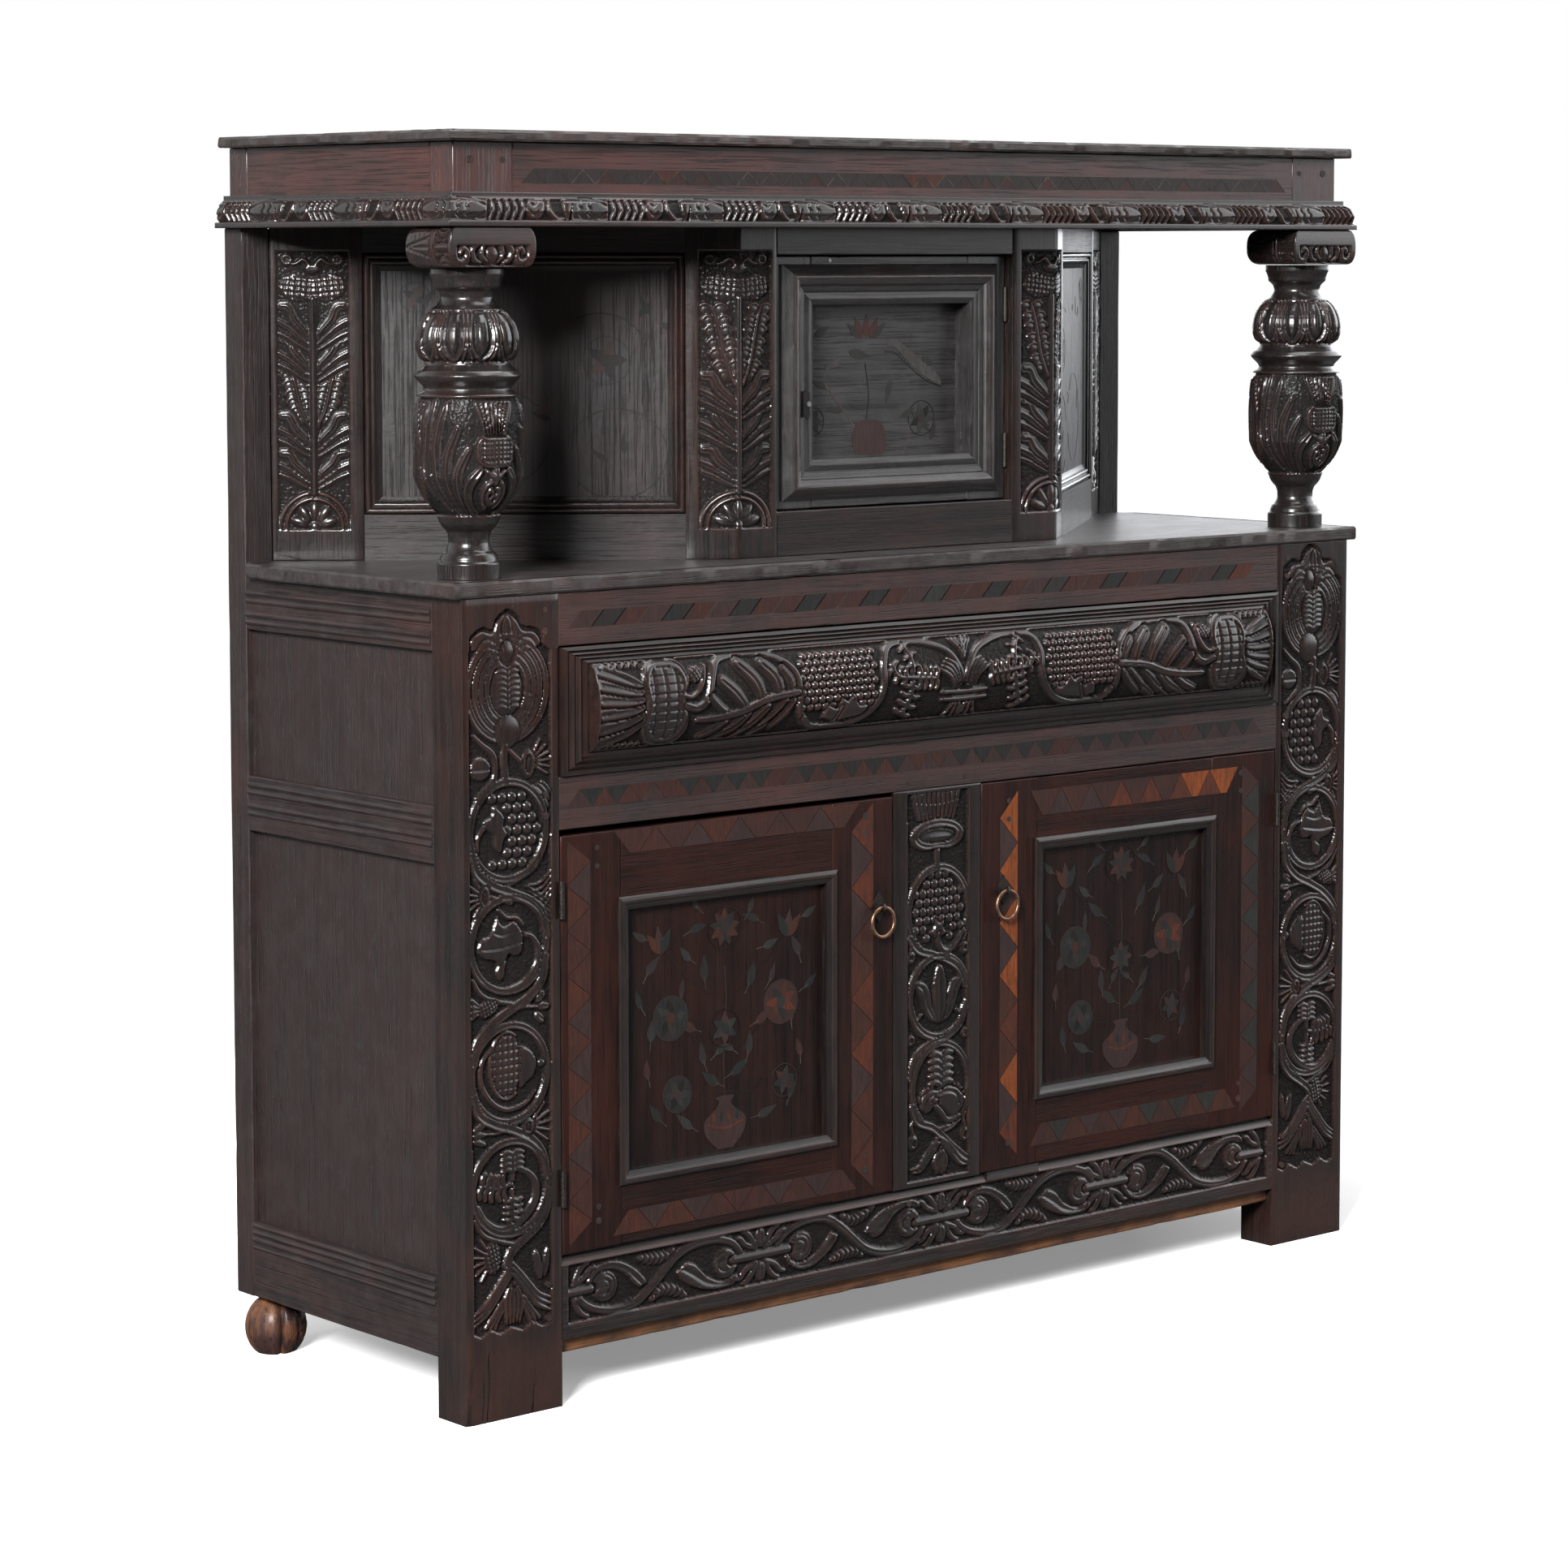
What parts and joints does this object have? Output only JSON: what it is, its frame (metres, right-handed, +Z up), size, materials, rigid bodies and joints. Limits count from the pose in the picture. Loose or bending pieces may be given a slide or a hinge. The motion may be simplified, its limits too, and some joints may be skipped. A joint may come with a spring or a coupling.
{
  "type": "court cupboard",
  "caption": "Joined oak court cupboard: doors under a long drawer, a canted cupboard set back on the shelf, and a canopy on turned columns.",
  "frame": {"origin": "middle of the footprint on the floor", "axes": "+X to the right along the front, +Y from the front to the back, +Z up"},
  "size_m": [1.54, 0.5099, 1.5],
  "materials": {
    "carved_oak": "dark brown oak, waxed and worn to a soft sheen",
    "plain_oak": "dark brown oak boards, waxed",
    "inlaid_oak": "dark oak with inlaid flowers in lighter and redder woods",
    "inner_oak": "unpolished brown oak",
    "worn_oak": "dark oak worn back to raw wood at the edges",
    "dark_iron": "dark iron, satin"
  },
  "bodies": {
    "root": {"front_left_stile": "carved_oak", "front_right_stile": "carved_oak", "rear_left_post": "plain_oak", "rear_right_post": "plain_oak", "rear_feet": "worn_oak", "front_top_rail": "carved_oak", "front_middle_rail": "carved_oak", "front_base_rail": "carved_oak", "plinth_strip": "inner_oak", "centre_muntin": "carved_oak", "left_side_rails": "plain_oak", "right_side_rails": "plain_oak", "left_side_panels": "plain_oak", "right_side_panels": "plain_oak", "cupboard_floor": "inner_oak", "drawer_runners": "inner_oak", "lower_back_boards": "inner_oak", "shelf_board": "plain_oak", "left_column": "carved_oak", "right_column": "carved_oak", "left_capital": "carved_oak", "right_capital": "carved_oak", "canopy_front_rail": "carved_oak", "canopy_corner_blocks": "carved_oak", "canopy_side_rails": "plain_oak", "canopy_back_rail": "inner_oak", "cornice_front": "carved_oak", "cornice_sides": "carved_oak", "top_board": "plain_oak", "upper_back_boards": "inner_oak", "left_canted_post": "carved_oak", "right_canted_post": "carved_oak", "canted_stiles": "carved_oak", "canted_rails": "plain_oak", "left_canted_panel": "plain_oak", "right_canted_panel": "plain_oak", "upper_front_rails": "carved_oak", "case_hinge_leaves": "dark_iron", "frame_pegs": "carved_oak"},
    "left_door": {"left_door_frame": "carved_oak", "left_door_panel": "inlaid_oak", "left_door_moulding": "carved_oak", "left_door_hinges": "dark_iron", "left_handle_plate": "dark_iron"},
    "right_door": {"right_door_frame": "carved_oak", "right_door_panel": "inlaid_oak", "right_door_moulding": "carved_oak", "right_door_hinges": "dark_iron", "right_handle_plate": "dark_iron"},
    "upper_door": {"upper_door_frame": "carved_oak", "upper_door_panel": "inlaid_oak", "upper_door_moulding": "carved_oak", "upper_door_hinges": "dark_iron"},
    "drawer": {"drawer_front": "carved_oak", "drawer_moulding": "carved_oak", "drawer_cushion": "carved_oak", "drawer_box_boards": "inner_oak", "drawer_bottom": "inner_oak"},
    "left_ring": {"left_ring": "dark_iron"},
    "right_ring": {"right_ring": "dark_iron"}
  },
  "joints": [
    {"name": "left_door_hinge", "type": "hinge", "parent": "root", "child": "left_door", "pos_m": [-0.615, -0.2284, 0.4335], "axis": [0, 0, -1], "range_deg": [0, 105]},
    {"name": "right_door_hinge", "type": "hinge", "parent": "root", "child": "right_door", "pos_m": [0.615, -0.2284, 0.4335], "axis": [0, 0, 1], "range_deg": [0, 105]},
    {"name": "upper_door_hinge", "type": "hinge", "parent": "root", "child": "upper_door", "pos_m": [0.1886, -0.1354, 1.1985], "axis": [0, 0, 1], "range_deg": [0, 100]},
    {"name": "drawer_slide", "type": "slide", "parent": "root", "child": "drawer", "axis": [0, -1, 0], "range_m": [0, 0.33]},
    {"name": "left_ring_swing", "type": "hinge", "parent": "left_door", "child": "left_ring", "pos_m": [-0.113, -0.234, 0.5455], "axis": [1, 0, 0], "range_deg": [-95, 8]},
    {"name": "right_ring_swing", "type": "hinge", "parent": "right_door", "child": "right_ring", "pos_m": [0.102, -0.234, 0.5455], "axis": [1, 0, 0], "range_deg": [-95, 8]}
  ]
}
